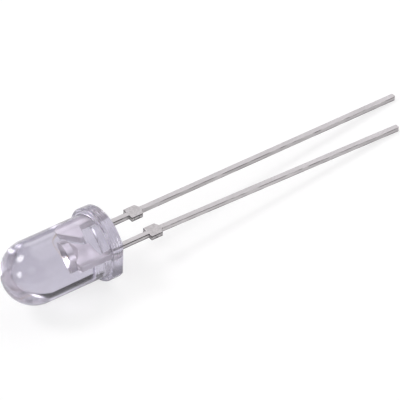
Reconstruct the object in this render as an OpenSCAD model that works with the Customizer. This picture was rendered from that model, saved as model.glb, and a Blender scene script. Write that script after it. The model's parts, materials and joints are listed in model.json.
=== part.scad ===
// Round through-hole LED with a clear cast body, lying as it comes to rest.
// Each piece is drawn upright about the body's axis, with the seating face at
// height zero and the cathode on the +X side, and at_rest() then lays it down.

/* [Body] */
// Diameter of the barrel and its dome
barrel_d = 5.0; // [4.4:0.05:5.4]
// Height of the dome's centre above the seating face
dome_centre_h = 6.22; // [5.2:0.02:8]
// Diameter of the flange
flange_d = 5.8; // [5.5:0.02:7]
// Thickness of the flange
flange_h = 0.96; // [0.6:0.02:1.6]
// Distance from the axis to the flat that marks the cathode
flat_offset = 2.62; // [2.2:0.01:3.3]
// Radius along the flange's outer edges
flange_edge_r = 0.1; // [0.02:0.01:0.25]
// Radius in the corner between the barrel and the flange
root_r = 0.12; // [0.02:0.01:0.3]

/* [Leads] */
// Distance between the centres of the two leads
lead_pitch = 2.54; // [2:0.02:3.2]
// Width of a lead, measured across the pair
lead_w = 0.42; // [0.3:0.01:0.6]
// Thickness of the sheet that the frame is stamped from
lead_t = 0.42; // [0.3:0.01:0.6]
// Length of the anode lead from the seating face
anode_len = 28.0; // [10:0.1:36]
// Length of the cathode lead from the seating face
cathode_len = 26.0; // [10:0.1:36]
// How far the tip of the cathode lead is bent outwards of straight
cathode_spread = 0.56; // [0:0.02:1]
// Bevel on the corners of the cut ends
tip_bevel = 0.08; // [0.01:0.01:0.14]

/* [Stand-off stubs] */
// Distance from the seating face to the middle of a stub
stub_drop = 3.7; // [1.5:0.02:6]
// Length of a stub where it leaves its lead
stub_len = 1.2; // [0.5:0.02:2]
// How far a stub stands out on each side of its lead
stub_out = 0.37; // [0.1:0.01:0.6]
// How far the side towards the tip slopes back
stub_slope = 0.2; // [0.02:0.01:0.4]

/* [Anode post] */
// Height of the post's top above the seating face
post_h = 3.3; // [2.6:0.02:4.2]
// Width of the level top that takes the bond wire
post_top_w = 0.2; // [0.12:0.01:0.4]
// Fall of the sloping shoulder on the post's outer side
post_shoulder = 0.7; // [0.1:0.02:1]
// Clear gap between the post's top and the cup's rim
post_clear = 0.34; // [0.2:0.01:0.6]
// How far the flag reaches inwards from the lead
flag_reach = 0.54; // [0.2:0.01:0.8]
// Height of the flag's inner corner
flag_h = 2.05; // [1.85:0.01:2.4]
// Height of the flag's underside at its inner end
flag_foot_h = 1.64; // [1.2:0.01:1.8]
// How much lower the underside of the post and the anvil meets the lead
foot_rake = 0.24; // [0.02:0.01:0.6]

/* [Cathode anvil] */
// Clear gap between the post and the anvil, measured across
frame_gap = 0.42; // [0.25:0.01:0.6]
// Height of the anvil's shoulder beside the cup
anvil_h = 3.4; // [3.05:0.01:3.7]
// Bevel on the anvil's outer shoulder
anvil_bevel = 0.2; // [0.05:0.01:0.4]

/* [Reflector cup] */
// Height of the cup's rim above the seating face
cup_rim_h = 3.85; // [3.6:0.01:4.3]
// Diameter over the cup's rim
cup_d = 1.56; // [1.2:0.01:1.9]
// Width of the rim's level edge
cup_wall = 0.05; // [0.03:0.01:0.14]
// Depth of the cup
cup_depth = 0.42; // [0.3:0.01:0.6]
// Diameter of the cup's floor
cup_floor_d = 0.56; // [0.54:0.01:0.8]
// Height of the round head that the cup is pressed into
cup_head_h = 0.6; // [0.5:0.01:1.2]

/* [Chip] */
// Side of the square chip
chip_w = 0.3; // [0.2:0.01:0.34]
// Height of the chip
chip_h = 0.2; // [0.1:0.01:0.3]
// Thickness of the adhesive below the chip
bed_h = 0.03; // [0.01:0.005:0.05]
// How far the adhesive climbs the chip's sides
bed_climb = 0.05; // [0.02:0.005:0.09]
// Width of the adhesive's floor outside the chip's corners
bed_margin = 0.05; // [0.03:0.005:0.06]

/* [Bond wire] */
// Diameter of the gold wire
wire_d = 0.03; // [0.02:0.002:0.05]
// Height of the wire's loop above the higher of the rim and the post
loop_h = 0.22; // [0.1:0.01:0.4]
// Radius of the bend above the chip
rise_bend_r = 0.15; // [0.08:0.01:0.2]
// Radius of the bend down to the post
fall_bend_r = 0.35; // [0.2:0.01:0.5]
// Slope of the wire where it lands on the post, from the level
landing_angle = 75; // [60:1:85]
// Diameter of the ball on the chip
ball_d = 0.1; // [0.07:0.005:0.14]
// Height of the ball on the chip
ball_h = 0.04; // [0.02:0.005:0.06]
// Diameter of the stitch on the post
stitch_d = 0.09; // [0.06:0.005:0.12]
// Height of the stitch on the post
stitch_h = 0.024; // [0.016:0.002:0.04]

/* [Hidden] */
$fn = 96;
wire_fn = 24;

barrel_r = barrel_d / 2;
flange_r = flange_d / 2;
cup_r = cup_d / 2;

// The two edges of a lead, as distances from the body's axis
lead_in = (lead_pitch - lead_w) / 2;
lead_out = (lead_pitch + lead_w) / 2;

// At rest the flange's rim and a corner of each tip touch the surface
stagger = anode_len - cathode_len;
longer_len = max(anode_len, cathode_len);
tip_pitch = lead_pitch + cathode_spread;
longer_tip_in = lead_in + tip_bevel + (stagger < 0 ? cathode_spread : 0);
tip_reach = longer_len + flange_edge_r - abs(stagger) * longer_tip_in / tip_pitch;
rest_tilt = atan((flange_r - lead_t / 2) / tip_reach);
rest_roll = asin(stagger / tip_pitch * tan(rest_tilt));

// The post's sloping inner edge, as distances from the axis, which the anvil's edge follows
post_in = cup_r + post_clear;
flag_in = lead_in - flag_reach;
foot_root_h = flag_foot_h - foot_rake;
stub_top_h = -stub_drop + stub_len / 2;
stub_tip_h = -stub_drop - stub_len / 2;

// The chip's levels, from the cup's floor up
cup_floor_h = cup_rim_h - cup_depth;
chip_foot_h = cup_floor_h + bed_h;
chip_top_h = chip_foot_h + chip_h;
bed_floor_r = chip_w / sqrt(2) + bed_margin;
bed_top_r = bed_floor_r - bed_margin / 2;

// The bond wire's run over the rim and its landing on the post
wire_run_h = max(cup_rim_h, post_h, chip_top_h + rise_bend_r) + loop_h;
landing_x = -post_in - post_top_w / 2;
landing_h = post_h + stitch_h / 2;
fall_len = (wire_run_h - landing_h - fall_bend_r * (1 - cos(landing_angle))) / sin(landing_angle);
fall_x = landing_x + fall_bend_r * sin(landing_angle) + fall_len * cos(landing_angle);
rise_foot_h = chip_top_h + ball_h / 2;

// Lays the upright part down: dome towards -X, leads towards +X, cathode on the -Y side
module at_rest() {
    rotate([0, rest_tilt, 0]) rotate([90, 0, -90]) rotate([0, 0, -rest_roll]) children();
}

// A flat stamping of the lead frame, from its outline in distance from the axis and height
module stamping(points) {
    rotate([90, 0, 0]) linear_extrude(lead_t, center = true) polygon(points);
}

module lens_profile() {
    intersection() {
        union() {
            square([barrel_r, dome_centre_h]);
            translate([0, dome_centre_h]) circle(r = barrel_r);
        }
        square([barrel_r, dome_centre_h + barrel_r]);
    }
}

module flange_profile() {
    square([flange_r - flange_edge_r, flange_h]);
    translate([0, flange_edge_r]) square([flange_r, flange_h - 2 * flange_edge_r]);
    for (h = [flange_edge_r, flange_h - flange_edge_r])
        translate([flange_r - flange_edge_r, h]) circle(r = flange_edge_r);
}

// The small hollow curve where the barrel rises from the flange
module root_profile() {
    translate([barrel_r, flange_h]) difference() {
        translate([-root_r, -root_r]) square(2 * root_r);
        translate([root_r, root_r]) circle(r = root_r);
    }
}

module lens_shape() {
    rotate_extrude() lens_profile();
    intersection() {
        rotate_extrude() union() {
            flange_profile();
            root_profile();
        }
        translate([flat_offset - 2 * flange_d, -flange_d, -flange_h])
            cube([2 * flange_d, 2 * flange_d, 3 * flange_h]);
    }
}

// A lead below its foot with its stub, as points down one edge and up the other, with its
// tip a spread outwards of straight
function leg_points(len, spread) = [
    [lead_in, stub_top_h], [lead_in - stub_out, stub_top_h],
    [lead_in - stub_out, stub_tip_h + stub_slope], [lead_in, stub_tip_h],
    [lead_in + spread, tip_bevel - len], [lead_in + spread + tip_bevel, -len],
    [lead_out + spread - tip_bevel, -len], [lead_out + spread, tip_bevel - len],
    [lead_out, stub_tip_h], [lead_out + stub_out, stub_tip_h + stub_slope],
    [lead_out + stub_out, stub_top_h], [lead_out, stub_top_h]
];

// The two heads go on from the leg's outer edge, over the top and back to its inner edge
post_points = [
    [lead_out, post_h - post_shoulder], [post_in + post_top_w, post_h], [post_in, post_h],
    [flag_in, flag_h], [flag_in, flag_foot_h], [lead_in, foot_root_h]
];
anvil_points = [
    [lead_out, anvil_h - anvil_bevel], [lead_out - anvil_bevel, anvil_h],
    [frame_gap - post_in, anvil_h], [frame_gap - post_in, post_h],
    [frame_gap - flag_in, flag_h], [frame_gap - flag_in, flag_foot_h], [lead_in, foot_root_h]
];

// The round head pressed up from the anvil, on a neck that spreads at 45 degrees
module cup_head() {
    neck_r = lead_t / 2;
    head_h = cup_rim_h - cup_head_h;
    rotate_extrude() polygon([[0, head_h - cup_r + neck_r], [neck_r, head_h - cup_r + neck_r],
                              [cup_r, head_h], [cup_r, cup_rim_h], [0, cup_rim_h]]);
}

// The coined cone that throws the chip's light forwards, and the clear space over the whole rim
module cup_hollow() {
    clear_r = cup_r + cup_wall;
    rotate_extrude() polygon([[0, cup_floor_h], [cup_floor_d / 2, cup_floor_h],
                              [cup_r - cup_wall, cup_rim_h], [clear_r, cup_rim_h],
                              [clear_r, cup_rim_h + cup_depth], [0, cup_rim_h + cup_depth]]);
}

module cathode_shape() {
    difference() {
        union() {
            stamping(concat(leg_points(cathode_len, cathode_spread), anvil_points));
            cup_head();
        }
        cup_hollow();
    }
}

module anode_shape() {
    rotate([0, 0, 180]) stamping(concat(leg_points(anode_len, 0), post_points));
}

module chip_shape() {
    translate([-chip_w / 2, -chip_w / 2, chip_foot_h]) cube([chip_w, chip_w, chip_h]);
}

module bed_shape() {
    difference() {
        translate([0, 0, cup_floor_h]) cylinder(r1 = bed_floor_r, r2 = bed_top_r, h = bed_h + bed_climb);
        chip_shape();
    }
}

// A bend of the wire about [x, h], from one angle through a sweep
module wire_bend(x, h, bend_r, start, sweep) {
    translate([x, 0, h]) rotate([90, 0, 0]) rotate([0, 0, start])
        rotate_extrude(angle = sweep) translate([bend_r, 0]) circle(d = wire_d, $fn = wire_fn);
}

module wire_shape() {
    translate([0, 0, chip_top_h]) cylinder(d = ball_d, h = ball_h);
    translate([0, 0, rise_foot_h])
        cylinder(d = wire_d, h = wire_run_h - rise_bend_r - rise_foot_h, $fn = wire_fn);
    wire_bend(-rise_bend_r, wire_run_h - rise_bend_r, rise_bend_r, 0, 90);
    translate([fall_x, 0, wire_run_h]) rotate([0, 90, 0])
        cylinder(d = wire_d, h = -rise_bend_r - fall_x, $fn = wire_fn);
    wire_bend(fall_x, wire_run_h - fall_bend_r, fall_bend_r, 90, landing_angle);
    translate([landing_x, 0, landing_h]) rotate([0, 90 - landing_angle, 0])
        cylinder(d = wire_d, h = fall_len, $fn = wire_fn);
    translate([landing_x, 0, post_h]) cylinder(d = stitch_d, h = stitch_h);
}

module lens_body() {
    color([0.80, 0.78, 0.88, 0.35]) at_rest() difference() {
        lens_shape();
        cathode_shape();
        anode_shape();
        chip_shape();
        bed_shape();
        wire_shape();
    }
}

module cathode_lead() {
    color([0.72, 0.70, 0.70]) at_rest() cathode_shape();
}

module anode_lead() {
    color([0.74, 0.72, 0.72]) at_rest() anode_shape();
}

module led_chip() {
    color([0.25, 0.24, 0.30]) at_rest() chip_shape();
}

module die_attach() {
    color([0.80, 0.80, 0.80]) at_rest() bed_shape();
}

module bond_wire() {
    color([0.90, 0.72, 0.30]) at_rest() wire_shape();
}

lens_body();
cathode_lead();
anode_lead();
led_chip();
die_attach();
bond_wire();
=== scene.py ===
"""A clear round LED with its lead frame, lying on a pale table as it comes to rest."""
import json
import math

import bmesh
import bpy
from mathutils import Matrix, Vector


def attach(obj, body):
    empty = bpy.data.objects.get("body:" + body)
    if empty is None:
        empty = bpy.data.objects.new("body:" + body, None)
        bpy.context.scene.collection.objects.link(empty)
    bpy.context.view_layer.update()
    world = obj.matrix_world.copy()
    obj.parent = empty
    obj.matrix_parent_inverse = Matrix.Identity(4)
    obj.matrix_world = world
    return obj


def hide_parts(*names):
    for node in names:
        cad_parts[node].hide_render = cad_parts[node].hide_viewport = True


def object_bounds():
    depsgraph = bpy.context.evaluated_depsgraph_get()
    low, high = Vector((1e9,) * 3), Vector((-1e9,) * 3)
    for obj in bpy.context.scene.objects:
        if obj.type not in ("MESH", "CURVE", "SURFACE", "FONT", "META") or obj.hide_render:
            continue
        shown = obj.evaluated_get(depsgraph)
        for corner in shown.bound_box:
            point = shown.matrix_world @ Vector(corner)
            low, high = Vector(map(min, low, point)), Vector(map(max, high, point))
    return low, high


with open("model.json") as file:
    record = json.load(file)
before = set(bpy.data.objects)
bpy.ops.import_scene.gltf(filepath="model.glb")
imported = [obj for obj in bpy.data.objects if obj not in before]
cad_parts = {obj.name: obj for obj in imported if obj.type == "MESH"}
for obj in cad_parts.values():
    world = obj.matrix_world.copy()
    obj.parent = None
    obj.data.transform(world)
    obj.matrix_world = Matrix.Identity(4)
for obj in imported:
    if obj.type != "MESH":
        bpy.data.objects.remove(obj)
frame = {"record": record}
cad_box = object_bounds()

MM = 0.001


def mount(name):
    """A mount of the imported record, by its name."""
    return next(m for m in frame["record"]["mounts"] if m["name"] == name)


# The body in millimetres, drawn upright about its axis with the seating face at height zero

BARREL_R = mount("barrel")["dims"]["r_mm"]
DOME_TOP = 8.72
FLANGE_R = mount("flange_rim")["dims"]["r_mm"]
FLANGE_H = 0.96
FLANGE_EDGE_R = 0.1
FLAT_OFFSET = 2.62
ROOT_R = 0.12

# The two leads, with the cathode on the +X side, and their stand-off stubs

LEAD_PITCH = 2.54
LEAD_W = 0.42
LEAD_T = 0.42
LEAD_LEN = {"anode": 28.0, "cathode": 26.0}
LEAD_SPREAD = {"anode": 0.0, "cathode": 0.56}
LEAD_IN = (LEAD_PITCH - LEAD_W) / 2
LEAD_OUT = (LEAD_PITCH + LEAD_W) / 2
TIP_BEVEL = 0.08
PUNCHED_EDGE_R = 0.05

STUB_DROP = 3.7
STUB_LEN = 1.2
STUB_OUT = 0.37
STUB_SLOPE = 0.2
STUB_TOP = -STUB_DROP + STUB_LEN / 2
STUB_TIP = -STUB_DROP - STUB_LEN / 2

# The reflector cup and the round head that it's pressed into

CUP_R = 0.78
CUP_WALL = 0.05
CUP_MOUTH_R = CUP_R - CUP_WALL
CUP_LIP_R = 0.025
CUP_RIM_H = 3.85
CUP_DEPTH = 0.42
CUP_FLOOR_H = CUP_RIM_H - CUP_DEPTH
CUP_FLOOR_R = 0.28
CUP_FLOOR_EDGE_R = 0.04
HEAD_H = 0.6
HEAD_FOOT_H = CUP_RIM_H - HEAD_H
HEAD_EDGE_R = 0.1
CLEAR_MARGIN = 0.03
CLEAR_H = 0.4

# The anode's post with its slanted flag, and the cathode's anvil beside it

POST_H = 3.3
POST_TOP_W = 0.2
POST_SHOULDER = 0.7
POST_CLEAR = 0.34
POST_IN = CUP_R + POST_CLEAR
FLAG_REACH = 0.54
FLAG_IN = LEAD_IN - FLAG_REACH
FLAG_H = 2.05
FLAG_FOOT_H = 1.64
FOOT_RAKE = 0.24
FOOT_ROOT_H = FLAG_FOOT_H - FOOT_RAKE
FRAME_GAP = 0.42
ANVIL_H = 3.4
ANVIL_BEVEL = 0.2

# The chip, its bed of adhesive and its bond wire

CHIP_W = 0.3
CHIP_H = 0.2
CHIP_EDGE = 0.006
PAD_R = 0.071
BED_H = 0.03
BED_CLIMB = 0.05
BED_MARGIN = 0.05
BED_EDGE_R = 0.045
CHIP_FOOT = CUP_FLOOR_H + BED_H
CHIP_TOP = CHIP_FOOT + CHIP_H

WIRE_R = 0.015
LOOP_H = 0.22
WIRE_RUN_H = CUP_RIM_H + LOOP_H
RISE_BEND_R = 0.15
FALL_BEND_R = 0.35
FALL_RUN = 0.21
LANDING_X = -POST_IN - POST_TOP_W / 2
BALL_R = 0.05
BALL_H = 0.04
STITCH_R = 0.045
STITCH_H = 0.024

# Meshing: steps on the curves, the bend in degrees from which an edge is crisp, and the welding distance

ROUND_STEPS = {"body": 320, "cup": 96, "bed": 72, "wire": 20}
DOME_STEPS = 96
EDGE_STEPS = {"flange": 8, "cup": 6, "floor": 4, "wire": 16}
CRISP = {"body": 28, "lead": 40, "bed": 50}
WELD = 0.0005

# How it lies: dome towards -X, leads towards +X, cathode on the -Y side

towards_dome = Vector(mount("barrel")["axis"])
rest_tilt = math.atan2(towards_dome.z, -towards_dome.x)
stagger = LEAD_LEN["anode"] - LEAD_LEN["cathode"]
tip_pitch = LEAD_PITCH + LEAD_SPREAD["cathode"]
rest_roll = math.asin(stagger / tip_pitch * math.tan(rest_tilt))
laid_down = (Matrix.Rotation(rest_tilt, 4, "Y") @ Matrix.Rotation(-math.pi / 2, 4, "Z")
             @ Matrix.Rotation(math.pi / 2, 4, "X") @ Matrix.Rotation(-rest_roll, 4, "Z"))
at_rest = laid_down @ Matrix.Scale(MM, 4)


# Node trees

class Link:
    """A socket of a node tree. Arithmetic on it adds Math nodes, and node() adds any other kind."""

    def __init__(self, tree, socket=None):
        self.tree, self.socket = tree, socket

    def node(self, kind, settings=None, inputs=None, out=0):
        """Adds a node: its settings are made first, then its sockets get their values or links."""
        made = self.tree.nodes.new(kind)
        for key, value in (settings or {}).items():
            if key == "cases":
                while len(made.index_switch_items) < value:
                    made.index_switch_items.new()
            else:
                setattr(made, key, value)
        for key, value in (inputs or {}).items():
            if isinstance(value, (Link, list)):
                for link in value if isinstance(value, list) else [value]:
                    self.tree.links.new(link.socket, made.inputs[key])
            else:
                made.inputs[key].default_value = value
        if isinstance(out, tuple):
            return [Link(self.tree, made.outputs[o]) for o in out]
        return Link(self.tree, made.outputs[out]) if made.outputs else made

    def maths(self, operation, a, b=0.0):
        return self.node("ShaderNodeMath", {"operation": operation}, {0: a, 1: b})

    def __add__(self, other):
        return self.maths("ADD", self, other)

    def __radd__(self, other):
        return self.maths("ADD", other, self)

    def __sub__(self, other):
        return self.maths("SUBTRACT", self, other)

    def __rsub__(self, other):
        return self.maths("SUBTRACT", other, self)

    def __mul__(self, other):
        return self.maths("MULTIPLY", self, other)

    def __rmul__(self, other):
        return self.maths("MULTIPLY", other, self)

    def __truediv__(self, other):
        return self.maths("DIVIDE", self, other)

    def __rtruediv__(self, other):
        return self.maths("DIVIDE", other, self)

    def __pow__(self, other):
        return self.maths("POWER", self, other)

    def __lt__(self, other):
        return self.maths("LESS_THAN", self, other)

    def __gt__(self, other):
        return self.maths("GREATER_THAN", self, other)

    def clamped(self):
        return self.node("ShaderNodeClamp", None, {"Value": self})

    def ease(self, start, end):
        """Rises smoothly from 0 at start to 1 at end."""
        return self.node("ShaderNodeMapRange", {"interpolation_type": "SMOOTHSTEP"},
                         {"Value": self, "From Min": start, "From Max": end})

    def blend(self, a, b):
        """The colour a where this is 0, and b where it is 1."""
        return self.node("ShaderNodeMix", {"data_type": "RGBA"}, {0: self, 6: a, 7: b}, 2)


def split(place):
    """The three numbers of a place."""
    return place.node("ShaderNodeSeparateXYZ", None, {0: place}, ("X", "Y", "Z"))


def off_axis(x, y):
    """The distance from the body's axis."""
    return (x * x + y * y) ** 0.5


def drawn_place(start):
    """Where a point of the surface is on the upright drawing, in millimetres."""
    place = start.node("ShaderNodeTexCoord", None, None, "Object")
    return place.node("ShaderNodeMapping", {"vector_type": "TEXTURE"},
                      {"Vector": place, "Rotation": laid_down.to_euler(), "Scale": (MM, MM, MM)})


def noise(place, scale, detail=2.0, stretch=(1, 1, 1)):
    """Smooth noise from 0 to 1 with features of about 1 / scale millimetres."""
    held = place.node("ShaderNodeVectorMath", {"operation": "MULTIPLY"}, {0: place, 1: stretch})
    return held.node("ShaderNodeTexNoise", None, {"Vector": held, "Scale": scale, "Detail": detail})


def bump(height, depth):
    """A surface that rises by depth millimetres where the height is 1."""
    return height.node("ShaderNodeBump", None, {"Height": height, "Distance": depth * MM})


# Colours of the finishes. Noise blends the two colours of a pair

EPOXY = ((0.53, 0.51, 0.60, 1), (0.55, 0.53, 0.62, 1))
# Painted shade: the dark outline of the clear body where it's seen at a glancing angle
PAINTED_EDGE_SHADE = (0.08, 0.074, 0.10, 1)
TIN = ((0.40, 0.385, 0.39, 1), (0.56, 0.54, 0.55, 1))
SILVER = ((0.86, 0.82, 0.83, 1), (0.93, 0.90, 0.90, 1))
CUT_SIDE = (0.56, 0.54, 0.545, 1)
CUT_STAIN = (0.07, 0.067, 0.07, 1)
LEG_EDGE_LINE = (0.26, 0.245, 0.25, 1)
# Painted shade: near black on the punched sides' edges above the stubs' tips
NECK_PAINTED_SHADE = (0.05, 0.048, 0.05, 1)
CRYSTAL = ((0.13, 0.15, 0.21, 1), (0.24, 0.26, 0.33, 1))
CHIP_PAD = (0.92, 0.70, 0.33, 1)
FLAKES = ((0.50, 0.50, 0.51, 1), (0.82, 0.82, 0.83, 1))
GOLD = ((0.91, 0.75, 0.46, 1), (0.98, 0.84, 0.58, 1))
TABLE = ((0.965, 0.965, 0.968, 1), (0.985, 0.985, 0.985, 1))
WHITE = (1, 1, 1, 1)

# The cast epoxy takes a little light on the way through, and least of the blue
EPOXY_LOSS = {"Color": (0.5, 0.45, 0.6, 1), "Density": 4.0}
EPOXY_IOR = 1.53


# Finishes

def clear_epoxy(start):
    """Clear epoxy with a lilac cast, slow waves in its surface, fine ridges round the flange's rim, and
    painted shade where it's seen at a glancing angle: a dark outline in place of the shade and dark
    reflections at its edges."""
    place = drawn_place(start)
    x, y, _ = split(place)
    cloud = noise(place, scale=0.6, detail=1.0)
    waves = noise(place, scale=0.35, detail=1.0, stretch=(1, 1, 0.4))
    on_rim = off_axis(x, y).ease(BARREL_R + 0.08, BARREL_R + 0.24)
    ridges = on_rim * noise(place, scale=1.1, detail=1.0, stretch=(0.5, 0.5, 4.5))
    ridge_lift = 50
    # Painted shade and dark reflection: the base colour turns dark where the surface is seen at a glancing
    # angle
    glancing = start.node("ShaderNodeLayerWeight", None, {"Blend": 0.5}, "Facing").ease(0.62, 0.88)
    return start.node("ShaderNodeBsdfPrincipled", None, {
        "Base Color": glancing.blend(cloud.blend(*EPOXY), PAINTED_EDGE_SHADE),
        "Roughness": 0.08 + cloud * 0.03,
        "IOR": EPOXY_IOR,
        "Transmission Weight": 1.0,
        "Normal": bump(waves + ridges * ridge_lift, depth=0.002)})


def tinned_metal(start):
    """Bright silver plating inside the body and dull tin outside. The punched sides carry a dark line near
    their edges, which is broken on the legs; above the stubs' tips it is whole and near black, as painted
    shade. The stubs are specked."""
    place = drawn_place(start)
    _, y, height = split(place)
    from_middle = (y * y) ** 0.5
    face = LEAD_T / 2
    inside = height.ease(-0.25, 0.15)
    rolled = from_middle.ease(face - 0.03, face - 0.012)
    drift = noise(place, scale=1.6, detail=3.0, stretch=(1, 1, 0.25))
    grain = noise(place, scale=14.0, detail=3.0, stretch=(1, 1, 0.12))
    specks = noise(place, scale=7.0).ease(0.4, 0.6)
    above_tip = height.ease(STUB_TIP - 0.1, STUB_TIP + 0.05)
    on_stub = above_tip * (1 - height.ease(STUB_TOP - 0.05, STUB_TOP + 0.05))
    breaks = noise(place, scale=2.2, stretch=(1, 1, 0.4)).ease(0.35, 0.6)
    # A dark line near the punched sides' edges, broken on the legs; above the stubs' tips it is whole and
    # near black, as painted shade
    edge_line_and_shade = from_middle.ease(face - 0.13, face - 0.08) * (breaks + above_tip * 0.6).clamped()
    cut_side = edge_line_and_shade.blend(CUT_SIDE, above_tip.blend(LEG_EDGE_LINE, NECK_PAINTED_SHADE))
    punched = (drift.ease(0.3, 0.7) * 0.2 + on_stub * specks * 0.6).blend(cut_side, CUT_STAIN)
    tin = (drift - on_stub * specks * 0.5).blend(*TIN)
    return start.node("ShaderNodeBsdfPrincipled", None, {
        "Base Color": inside.blend(rolled.blend(punched, tin), drift.blend(*SILVER)),
        "Metallic": 1.0,
        "Roughness": 0.40 + drift * 0.08 + grain * 0.06 - inside * 0.12 - rolled * 0.04,
        "Normal": bump(grain, depth=0.003)})


def semiconductor(start):
    """The chip's frosted sides and its round metal pad."""
    place = drawn_place(start)
    x, y, height = split(place)
    on_top = height.ease(CHIP_TOP - 2 * CHIP_EDGE, CHIP_TOP - CHIP_EDGE)
    pad = on_top * (1 - off_axis(x, y).ease(PAD_R - 0.003, PAD_R + 0.003))
    cloud = noise(place, scale=12.0, detail=3.0)
    return start.node("ShaderNodeBsdfPrincipled", None, {
        "Base Color": pad.blend(cloud.blend(*CRYSTAL), CHIP_PAD),
        "Metallic": 0.2 + pad * 0.8,
        "Roughness": 0.42 - pad * 0.16 + cloud * 0.1,
        "Normal": bump(cloud, depth=0.002)})


def silver_adhesive(start):
    """Fine metal flakes, each with its own tone and gloss."""
    place = drawn_place(start)
    flake = start.node("ShaderNodeTexVoronoi", None, {"Vector": place, "Scale": 60.0}, "Color")
    tone = flake.node("ShaderNodeSeparateColor", None, {0: flake})
    return start.node("ShaderNodeBsdfPrincipled", None, {
        "Base Color": tone.blend(*FLAKES),
        "Metallic": 0.75 + tone * 0.2,
        "Roughness": 0.35 + tone * 0.25,
        "Normal": bump(tone, depth=0.002)})


def gold_wire(start):
    """Bright drawn gold."""
    cloud = noise(drawn_place(start), scale=20.0)
    return start.node("ShaderNodeBsdfPrincipled", None, {
        "Base Color": cloud.blend(*GOLD),
        "Metallic": 1.0,
        "Roughness": 0.18 + cloud * 0.12,
        "Normal": bump(cloud, depth=0.001)})


def pale_table(start):
    """A white table that keeps the LED's soft shadow, and that the clear body and the metal show too."""
    rays = ("Is Camera Ray", "Is Glossy Ray", "Is Transmission Ray")
    seen, mirrored, through = start.node("ShaderNodeLightPath", None, None, rays)
    cloud = noise(start.node("ShaderNodeTexCoord", None, None, "Object"), scale=90.0)
    matt = start.node("ShaderNodeBsdfDiffuse", None, {"Color": cloud.blend(*TABLE), "Roughness": 0.3})
    glow = start.node("ShaderNodeEmission", None, {"Color": WHITE, "Strength": 1.02})
    glow_share = seen * 0.7 + (mirrored + through).clamped() * 0.3
    return start.node("ShaderNodeMixShader", None, {0: glow_share, 1: matt, 2: glow})


def shader(paint, loss=None):
    """A material with the surface that paint makes, and with a loss of light inside if one is given."""
    made = bpy.data.materials.new(paint.__name__)
    made.use_nodes = True
    made.node_tree.nodes.clear()
    start = Link(made.node_tree)
    sockets = {"Surface": paint(start)}
    if loss:
        sockets["Volume"] = start.node("ShaderNodeVolumeAbsorption", None, loss)
    start.node("ShaderNodeOutputMaterial", None, sockets)
    return made


FINISHES = {paint.__name__: shader(paint)
            for paint in (tinned_metal, semiconductor, silver_adhesive, gold_wire, pale_table)}
FINISHES["clear_epoxy"] = shader(clear_epoxy, EPOXY_LOSS)


# Geometry trees

def geometry_tree(name, sizes):
    """An empty geometry tree with one named input for each size, and a Link for each input."""
    tree = bpy.data.node_groups.new(name, "GeometryNodeTree")
    tree.interface.new_socket("Geometry", in_out="OUTPUT", socket_type="NodeSocketGeometry")
    for size, value in sizes.items():
        kind = "NodeSocketInt" if isinstance(value, int) else "NodeSocketFloat"
        tree.interface.new_socket(size, in_out="INPUT", socket_type=kind)
    given = tree.nodes.new("NodeGroupInput")
    return tree, Link(tree), {size: Link(tree, given.outputs[size]) for size in sizes}


def end_tree(start, geometry, finish):
    """Every tree ends with plain geometry in one finish."""
    real = start.node("GeometryNodeRealizeInstances", None, {"Geometry": geometry})
    shown = start.node("GeometryNodeSetMaterial", None, {"Geometry": real, "Material": FINISHES[finish]})
    start.node("NodeGroupOutput", None, {"Geometry": shown})


def corner_line(start, corners, radii, steps):
    """A line through the corners [(x, z), ...], each rounded with its radius in its number of steps."""
    index = start.node("GeometryNodeInputIndex")
    places = [start.node("ShaderNodeCombineXYZ", None, {"X": x, "Y": z}) for x, z in corners]

    def by_index(data_type, values):
        inputs = {"Index": index, **{1 + i: value for i, value in enumerate(values)}}
        return start.node("GeometryNodeIndexSwitch", {"data_type": data_type, "cases": len(values)}, inputs)

    points = start.node("GeometryNodePoints", None,
                        {"Count": len(corners), "Position": by_index("VECTOR", places)})
    line = start.node("GeometryNodePointsToCurves", None, {"Points": points})
    return start.node("GeometryNodeFilletCurve", {"mode": "POLY"}, {
        "Curve": line, "Count": by_index("INT", steps), "Radius": by_index("FLOAT", radii)})


def circle(start, radius, steps):
    return start.node("GeometryNodeCurvePrimitiveCircle", {"mode": "RADIUS"},
                      {"Radius": radius, "Resolution": steps})


def grown(name, tree, sizes):
    """What a geometry tree makes from these sizes, as a plain mesh laid down at rest."""
    host = bpy.data.objects.new(name, bpy.data.meshes.new(name))
    bpy.context.scene.collection.objects.link(host)
    modifier = host.modifiers.new("grown", "NODES")
    modifier.node_group = tree
    for item in tree.interface.items_tree:
        if item.in_out == "INPUT":
            modifier[item.identifier] = sizes[item.name]
    made = bpy.data.meshes.new_from_object(host.evaluated_get(bpy.context.evaluated_depsgraph_get()))
    host.modifiers.clear()
    made.name = name
    host.data = made
    made.transform(at_rest)
    return host


# The clear body

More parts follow.
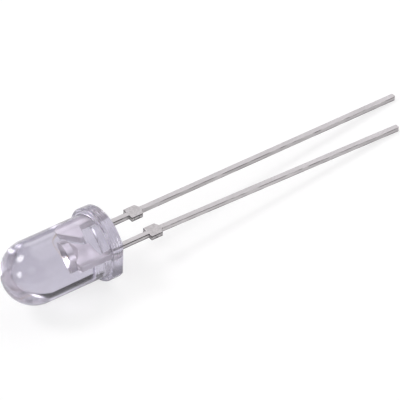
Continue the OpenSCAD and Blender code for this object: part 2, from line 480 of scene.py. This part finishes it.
def cast_body_tree():
    """The body as it leaves its mould: a profile turned about the axis, and the flange's flat pressed in."""
    sizes = {"Barrel radius": BARREL_R, "Dome top": DOME_TOP, "Flange radius": FLANGE_R,
             "Flange height": FLANGE_H, "Flat offset": FLAT_OFFSET, "Edge radius": FLANGE_EDGE_R,
             "Root radius": ROOT_R, "Steps round": ROUND_STEPS["body"]}
    tree, start, size = geometry_tree("cast body", sizes)
    barrel, top, rim, flange, flat, edge, root, steps_round = size.values()

    # The circle that the profile is turned about has the barrel's radius, and heights point down from it
    axis, up = barrel * -1, -1
    corners = [(axis, top * up), (0.0, top * up), (0.0, flange * up), (rim - barrel, flange * up),
               (rim - barrel, 0.0), (axis, 0.0)]
    radii = [0.0, barrel, root, edge, edge, 0.0]
    no_steps, edge_steps = 2, EDGE_STEPS["flange"]
    profile = corner_line(start, corners, radii,
                          [no_steps, DOME_STEPS, edge_steps, edge_steps, edge_steps, no_steps])
    round_body = start.node("GeometryNodeCurveToMesh", None,
                            {"Curve": circle(start, barrel, steps_round), "Profile Curve": profile})

    place = start.node("GeometryNodeInputPosition")
    x, y, height = split(place)
    inset = start.maths("MINIMUM", rim - off_axis(x, y), edge)
    least_x = 0.001
    reach = (flat - inset) / start.maths("MAXIMUM", x, least_x)
    on_flange = height < flange + root
    shrink = 1 - (1 - start.maths("MINIMUM", reach, 1.0)) * on_flange
    pressed = start.node("ShaderNodeCombineXYZ", None, {"X": x * shrink, "Y": y * shrink, "Z": height})
    with_flat = start.node("GeometryNodeSetPosition", None, {"Geometry": round_body, "Position": pressed})

    closed = start.node("GeometryNodeMergeByDistance", None, {"Geometry": with_flat, "Distance": WELD})
    soft = start.node("GeometryNodeSetShadeSmooth", {"domain": "FACE"}, {"Geometry": closed})
    bend = start.node("GeometryNodeInputMeshEdgeAngle", None, None, "Unsigned Angle")
    crisp = start.node("GeometryNodeSetShadeSmooth", {"domain": "EDGE"}, {
        "Geometry": soft, "Selection": bend > math.radians(CRISP["body"]), "Shade Smooth": False})
    end_tree(start, crisp, "clear_epoxy")
    return tree, sizes


lens = grown("clear_lens", *cast_body_tree())


# The lead frame

def mesh_piece(name, form, finish):
    """A piece from a bmesh form, which is freed."""
    mesh = bpy.data.meshes.new(name)
    form.to_mesh(mesh)
    form.free()
    mesh.materials.append(FINISHES[finish])
    piece = bpy.data.objects.new(name, mesh)
    bpy.context.scene.collection.objects.link(piece)
    return piece


def soften(form, width, segments):
    """Bevels every edge."""
    bmesh.ops.bevel(form, geom=form.edges[:], offset=width, offset_type="OFFSET", segments=segments,
                    profile=0.5, affect="EDGES", clamp_overlap=True)


def stamped(name, outline):
    """A flat stamping of the lead frame with softly rounded punched edges."""
    form = bmesh.new()
    near = [form.verts.new((x, -LEAD_T / 2, z)) for x, z in outline]
    far = [form.verts.new((x, LEAD_T / 2, z)) for x, z in outline]
    form.faces.new(near)
    form.faces.new(far[::-1])
    for i in range(len(outline)):
        j = (i + 1) % len(outline)
        form.faces.new((near[j], near[i], far[i], far[j]))
    bmesh.ops.recalc_face_normals(form, faces=form.faces)
    soften(form, PUNCHED_EDGE_R, 3)
    return mesh_piece(name, form, "tinned_metal")


def turned(name, profile, finish, steps):
    """A closed turned shape from its profile [(radius, height), ...], which starts and ends on the axis."""
    form = bmesh.new()
    ends = [form.verts.new((0, 0, profile[0][1])), form.verts.new((0, 0, profile[-1][1]))]
    rings = [[form.verts.new((r * math.cos(a), r * math.sin(a), z))
              for a in (2 * math.pi * k / steps for k in range(steps))] for r, z in profile[1:-1]]
    for k in range(steps):
        n = (k + 1) % steps
        form.faces.new((ends[0], rings[0][n], rings[0][k]))
        form.faces.new((ends[1], rings[-1][k], rings[-1][n]))
        for low, high in zip(rings, rings[1:]):
            form.faces.new((low[k], low[n], high[n], high[k]))
    bmesh.ops.recalc_face_normals(form, faces=form.faces)
    return mesh_piece(name, form, finish)


def arc(x, z, radius, start, end, steps):
    """Points on an arc about (x, z), between two angles in degrees."""
    turns = [math.radians(start + (end - start) * k / steps) for k in range(steps + 1)]
    return [(x + radius * math.cos(t), z + radius * math.sin(t)) for t in turns]


def joined(piece, others):
    """The piece after each other shape has been fused to it or cut from it."""
    for other, operation in others:
        cut = piece.modifiers.new("cut", "BOOLEAN")
        cut.operation, cut.solver, cut.object = operation, "EXACT", other
    form = bmesh.new()
    form.from_mesh(piece.evaluated_get(bpy.context.evaluated_depsgraph_get()).data)
    bmesh.ops.dissolve_degenerate(form, dist=WELD, edges=form.edges)
    piece.modifiers.clear()
    form.to_mesh(piece.data)
    form.free()
    for other, _ in others:
        bpy.data.objects.remove(other)
    return piece


def finished(piece, crisp_angle):
    """Smooths the shading except at crisp edges, keeps broad faces flat, and lays the piece down at rest."""
    piece.data.polygons.foreach_set("use_smooth", [True] * len(piece.data.polygons))
    piece.data.set_sharp_from_angle(angle=math.radians(crisp_angle))
    weigh = piece.modifiers.new("weigh", "WEIGHTED_NORMAL")
    weigh.keep_sharp = True
    made = bpy.data.meshes.new_from_object(piece.evaluated_get(bpy.context.evaluated_depsgraph_get()))
    piece.modifiers.clear()
    piece.data = made
    made.name = piece.name
    made.transform(at_rest)
    return piece


def leg(length, spread):
    """The points of a leg with its stub, down the inner edge and up the outer edge."""
    inner, outer = LEAD_IN - STUB_OUT, LEAD_OUT + STUB_OUT
    tip_in, tip_out = LEAD_IN + spread, LEAD_OUT + spread
    return [(LEAD_IN, STUB_TOP), (inner, STUB_TOP), (inner, STUB_TIP + STUB_SLOPE), (LEAD_IN, STUB_TIP),
            (tip_in, TIP_BEVEL - length), (tip_in + TIP_BEVEL, -length), (tip_out - TIP_BEVEL, -length),
            (tip_out, TIP_BEVEL - length), (LEAD_OUT, STUB_TIP), (outer, STUB_TIP + STUB_SLOPE),
            (outer, STUB_TOP), (LEAD_OUT, STUB_TOP)]


def cup_head():
    """The round head pressed up from the anvil, on a neck that spreads at 45 degrees."""
    neck_r = LEAD_T / 2
    neck_h = HEAD_FOOT_H - CUP_R + neck_r
    edge_h = HEAD_FOOT_H + HEAD_EDGE_R * math.tan(math.radians(45 / 2))
    profile = [(0, neck_h), (neck_r, neck_h),
               *arc(CUP_R - HEAD_EDGE_R, edge_h, HEAD_EDGE_R, -45, 0, EDGE_STEPS["cup"]),
               *arc(CUP_R - CUP_LIP_R, CUP_RIM_H - CUP_LIP_R, CUP_LIP_R, 0, 90, EDGE_STEPS["cup"]),
               (0, CUP_RIM_H)]
    return turned("head", profile, "tinned_metal", ROUND_STEPS["cup"])


def cup_hollow():
    """The coined cone that throws the chip's light forwards, and the clear space over its mouth."""
    cone_slope = math.degrees(math.atan2(CUP_DEPTH, CUP_MOUTH_R - CUP_FLOOR_R))
    floor_edge = arc(CUP_FLOOR_R, CUP_FLOOR_H + CUP_FLOOR_EDGE_R, CUP_FLOOR_EDGE_R, -90, cone_slope - 90,
                     EDGE_STEPS["floor"])
    clear_r = CUP_MOUTH_R + CLEAR_MARGIN
    profile = [(0, CUP_FLOOR_H), *floor_edge, (CUP_MOUTH_R, CUP_RIM_H), (clear_r, CUP_RIM_H + CLEAR_MARGIN),
               (clear_r, CUP_RIM_H + CLEAR_H), (0, CUP_RIM_H + CLEAR_H)]
    return turned("hollow", profile, "tinned_metal", ROUND_STEPS["cup"])


# Both heads go on from the leg's outer edge, over the top and back to its inner edge
post = [(LEAD_OUT, POST_H - POST_SHOULDER), (POST_IN + POST_TOP_W, POST_H), (POST_IN, POST_H),
        (FLAG_IN, FLAG_H), (FLAG_IN, FLAG_FOOT_H), (LEAD_IN, FOOT_ROOT_H)]
anvil = [(LEAD_OUT, ANVIL_H - ANVIL_BEVEL), (LEAD_OUT - ANVIL_BEVEL, ANVIL_H),
         (FRAME_GAP - POST_IN, ANVIL_H), (FRAME_GAP - POST_IN, POST_H),
         (FRAME_GAP - FLAG_IN, FLAG_H), (FRAME_GAP - FLAG_IN, FLAG_FOOT_H), (LEAD_IN, FOOT_ROOT_H)]

anode_outline = leg(LEAD_LEN["anode"], LEAD_SPREAD["anode"]) + post
anode = stamped("anode_frame", [(-x, z) for x, z in anode_outline])
cathode = stamped("cathode_frame", leg(LEAD_LEN["cathode"], LEAD_SPREAD["cathode"]) + anvil)
cathode = joined(cathode, [(cup_head(), "UNION"), (cup_hollow(), "DIFFERENCE")])
for lead in (anode, cathode):
    finished(lead, CRISP["lead"])


# The chip, its bed of adhesive and its bond wire

def chip_block():
    form = bmesh.new()
    bmesh.ops.create_cube(form, size=1.0, matrix=Matrix.Translation((0, 0, CHIP_FOOT + CHIP_H / 2))
                          @ Matrix.Diagonal((CHIP_W, CHIP_W, CHIP_H, 1)))
    soften(form, CHIP_EDGE, 2)
    return mesh_piece("chip_die", form, "semiconductor")


def bed_of_adhesive():
    """The adhesive that the chip is pressed into, which climbs its sides."""
    bed_r = CHIP_W / math.sqrt(2) + BED_MARGIN
    bed_top = CUP_FLOOR_H + BED_H + BED_CLIMB
    edge = arc(bed_r - BED_MARGIN, bed_top - BED_EDGE_R, BED_EDGE_R, 0, 90, EDGE_STEPS["cup"])
    profile = [(0, CUP_FLOOR_H), (bed_r, CUP_FLOOR_H), *edge, (0, bed_top)]
    return turned("adhesive_bed", profile, "silver_adhesive", ROUND_STEPS["bed"])


def bond_wire_tree():
    """The gold wire along its loop, with the ball at the chip's end and the flat stitch at the post's end."""
    sizes = {"Wire radius": WIRE_R, "Run height": WIRE_RUN_H, "Rise bend": RISE_BEND_R,
             "Fall bend": FALL_BEND_R, "Fall start": LANDING_X + FALL_RUN, "Landing": LANDING_X,
             "Chip top": CHIP_TOP, "Post top": POST_H, "Ball radius": BALL_R, "Ball height": BALL_H,
             "Stitch radius": STITCH_R, "Stitch height": STITCH_H}
    tree, start, size = geometry_tree("bond wire", sizes)
    ball_middle = size["Chip top"] + size["Ball height"] / 2
    stitch_middle = size["Post top"] + size["Stitch height"] / 2
    corners = [(0.0, ball_middle), (0.0, size["Run height"]), (size["Fall start"], size["Run height"]),
               (size["Landing"], stitch_middle)]
    no_steps, bend_steps = 2, EDGE_STEPS["wire"]
    path = corner_line(start, corners, [0.0, size["Rise bend"], size["Fall bend"], 0.0],
                       [no_steps, bend_steps, bend_steps, no_steps])
    wire = start.node("GeometryNodeCurveToMesh", None, {
        "Curve": path, "Profile Curve": circle(start, size["Wire radius"], ROUND_STEPS["wire"]),
        "Fill Caps": True})
    upright = start.node("GeometryNodeTransform", None, {"Geometry": wire, "Rotation": (math.pi / 2, 0, 0)})

    def bead(radius, thickness, x, z):
        """A flattened round end of the wire."""
        ball = start.node("GeometryNodeMeshUVSphere", None, {"Segments": 32, "Rings": 16, "Radius": radius})
        flattened = thickness / (radius * 2)
        squeeze = start.node("ShaderNodeCombineXYZ", None, {"X": 1.0, "Y": 1.0, "Z": flattened})
        place = start.node("ShaderNodeCombineXYZ", None, {"X": x, "Z": z})
        return start.node("GeometryNodeTransform", None,
                          {"Geometry": ball, "Translation": place, "Scale": squeeze})

    ends = [bead(size["Ball radius"], size["Ball height"], 0.0, ball_middle),
            bead(size["Stitch radius"], size["Stitch height"], size["Landing"], stitch_middle)]
    whole = start.node("GeometryNodeMeshBoolean", {"operation": "UNION"}, {"Mesh 2": [upright, *ends]})
    end_tree(start, start.node("GeometryNodeSetShadeSmooth", None, {"Geometry": whole}), "gold_wire")
    return tree, sizes


chip = finished(chip_block(), CRISP["lead"])
bed = finished(bed_of_adhesive(), CRISP["bed"])
wire = grown("gold_bond_wire", *bond_wire_tree())

for piece, node, slot in ((lens, "lens_body", "clear_epoxy"), (cathode, "cathode_lead", "tinned_steel"),
                          (anode, "anode_lead", "tinned_steel"), (chip, "led_chip", "semiconductor"),
                          (bed, "die_attach", "silver_adhesive"), (wire, "bond_wire", "gold_wire")):
    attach(piece, "root")
    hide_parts(node)


# The table

TABLE_R = 2.5


def table_top(height):
    form = bmesh.new()
    bmesh.ops.create_circle(form, cap_ends=True, radius=TABLE_R, segments=64,
                            matrix=Matrix.Translation((0, 0, height)))
    return mesh_piece("table_top", form, "pale_table")


table_top(cad_box[0].z)


# The camera. Its three directions are given on the upright drawing, and so is the point that it looks at,
# as millimetres to the right and up of the seating face's middle

VIEW_RIGHT = Vector((0.5851, 0.0256, -0.8105))
VIEW_UP = Vector((-0.5376, 0.7606, -0.3640))
VIEW_BACK = Vector((0.6072, 0.6487, 0.4588))
VIEW_MIDDLE = (7.151, 2.993)
CAMERA_DISTANCE = 400
FOCAL_LENGTH = 487.46
SENSOR_WIDTH = 36

lens_view = bpy.data.cameras.new("camera")
lens_view.sensor_width = SENSOR_WIDTH
lens_view.lens = FOCAL_LENGTH
lens_view.clip_start, lens_view.clip_end = 0.01, 20
camera = bpy.data.objects.new("camera", lens_view)
bpy.context.scene.collection.objects.link(camera)
right, up = VIEW_MIDDLE
stand = laid_down @ (VIEW_RIGHT * right + VIEW_UP * up + VIEW_BACK * CAMERA_DISTANCE) * MM
camera_turn = laid_down @ Matrix((VIEW_RIGHT, VIEW_UP, VIEW_BACK)).transposed().to_4x4()
camera.matrix_world = Matrix.Translation(stand) @ camera_turn
bpy.context.scene.camera = camera


# The studio's light. A place in it is an azimuth from the camera, with the right side positive, and an
# elevation, then how many degrees from there a patch is full, and how many degrees from there it ends

towards_camera = laid_down @ VIEW_BACK
CAMERA_AZIMUTH = math.atan2(towards_camera.y, towards_camera.x)
STUDIO_TONE = (1.0, 0.985, 1.0, 1)
WALL_FOOT, WALL_TOP = 0.5, 0.12
DARK_DOORWAY = (-173, 4, 12, 32)
DARK_CORNER = (-44, 2, 6, 16)

PATCHES = {
    "pale wall on the right": ((100, 8, 15, 55), 0.2),
    "high wall behind on the right": ((132, 57, 14, 36), 1.5),
    "high wall on the right": ((70, 48, 8, 24), 0.6),
    "high strip behind": ((168, 46, 5, 14), 0.7),
    "broad screen on the left": ((-75, 24, 10, 42), 0.3),
    "screen above the camera": ((-6, 46, 6, 18), 0.9),
    "screen in front on the right": ((60, 14, 8, 24), 0.7),
    "window behind": ((-175, 31, 5, 13), 2.4),
    "window behind on the right": ((157, 15, 6, 14), 2.0),
    "low window on the right": ((77, 6, 5, 14), 6.0),
    "high lamp on the left": ((-105, 54, 5, 15), 11.0),
    "lamp in front on the left": ((-54, 22, 4, 12), 10.0),
    "small lamp behind on the right": ((158, 12, 3, 8), 6.0),
}


def studio_light(start):
    """A pale studio: walls that are lighter at their foot, two dark places in them, and patches of light."""
    seen = start.node("ShaderNodeTexCoord", None, None, "Generated")
    _, _, height = split(seen)

    def around(azimuth, elevation, core, rim):
        """1 within core degrees of a direction, and 0 from rim degrees on."""
        turn = CAMERA_AZIMUTH + math.radians(azimuth)
        rise = math.radians(elevation)
        middle = (math.cos(turn) * math.cos(rise), math.sin(turn) * math.cos(rise), math.sin(rise))
        facing = start.node("ShaderNodeVectorMath", {"operation": "DOT_PRODUCT"}, {0: seen, 1: middle},
                            "Value")
        return facing.ease(math.cos(math.radians(rim)), math.cos(math.radians(core)))

    below_lintel = 1 - height.ease(0.26, 0.36)
    dark = around(*DARK_DOORWAY) * below_lintel + around(*DARK_CORNER) * 0.7
    walls = (WALL_FOOT - height.ease(0.25, 0.6) * (WALL_FOOT - WALL_TOP)) * (1 - dark * 0.95)
    patches = [around(*place) * strength for place, strength in PATCHES.values()]
    return start.node("ShaderNodeBackground", None, {"Color": STUDIO_TONE, "Strength": sum(patches, walls)})


world = bpy.data.worlds.new("studio")
bpy.context.scene.world = world
world.use_nodes = True
world.node_tree.nodes.clear()
sky = Link(world.node_tree)
sky.node("ShaderNodeOutputWorld", None, {"Surface": studio_light(sky)})

bpy.context.scene.view_settings.view_transform = "Standard"
for bounces in ("max_bounces", "transmission_bounces", "glossy_bounces"):
    setattr(bpy.context.scene.cycles, bounces, 40)
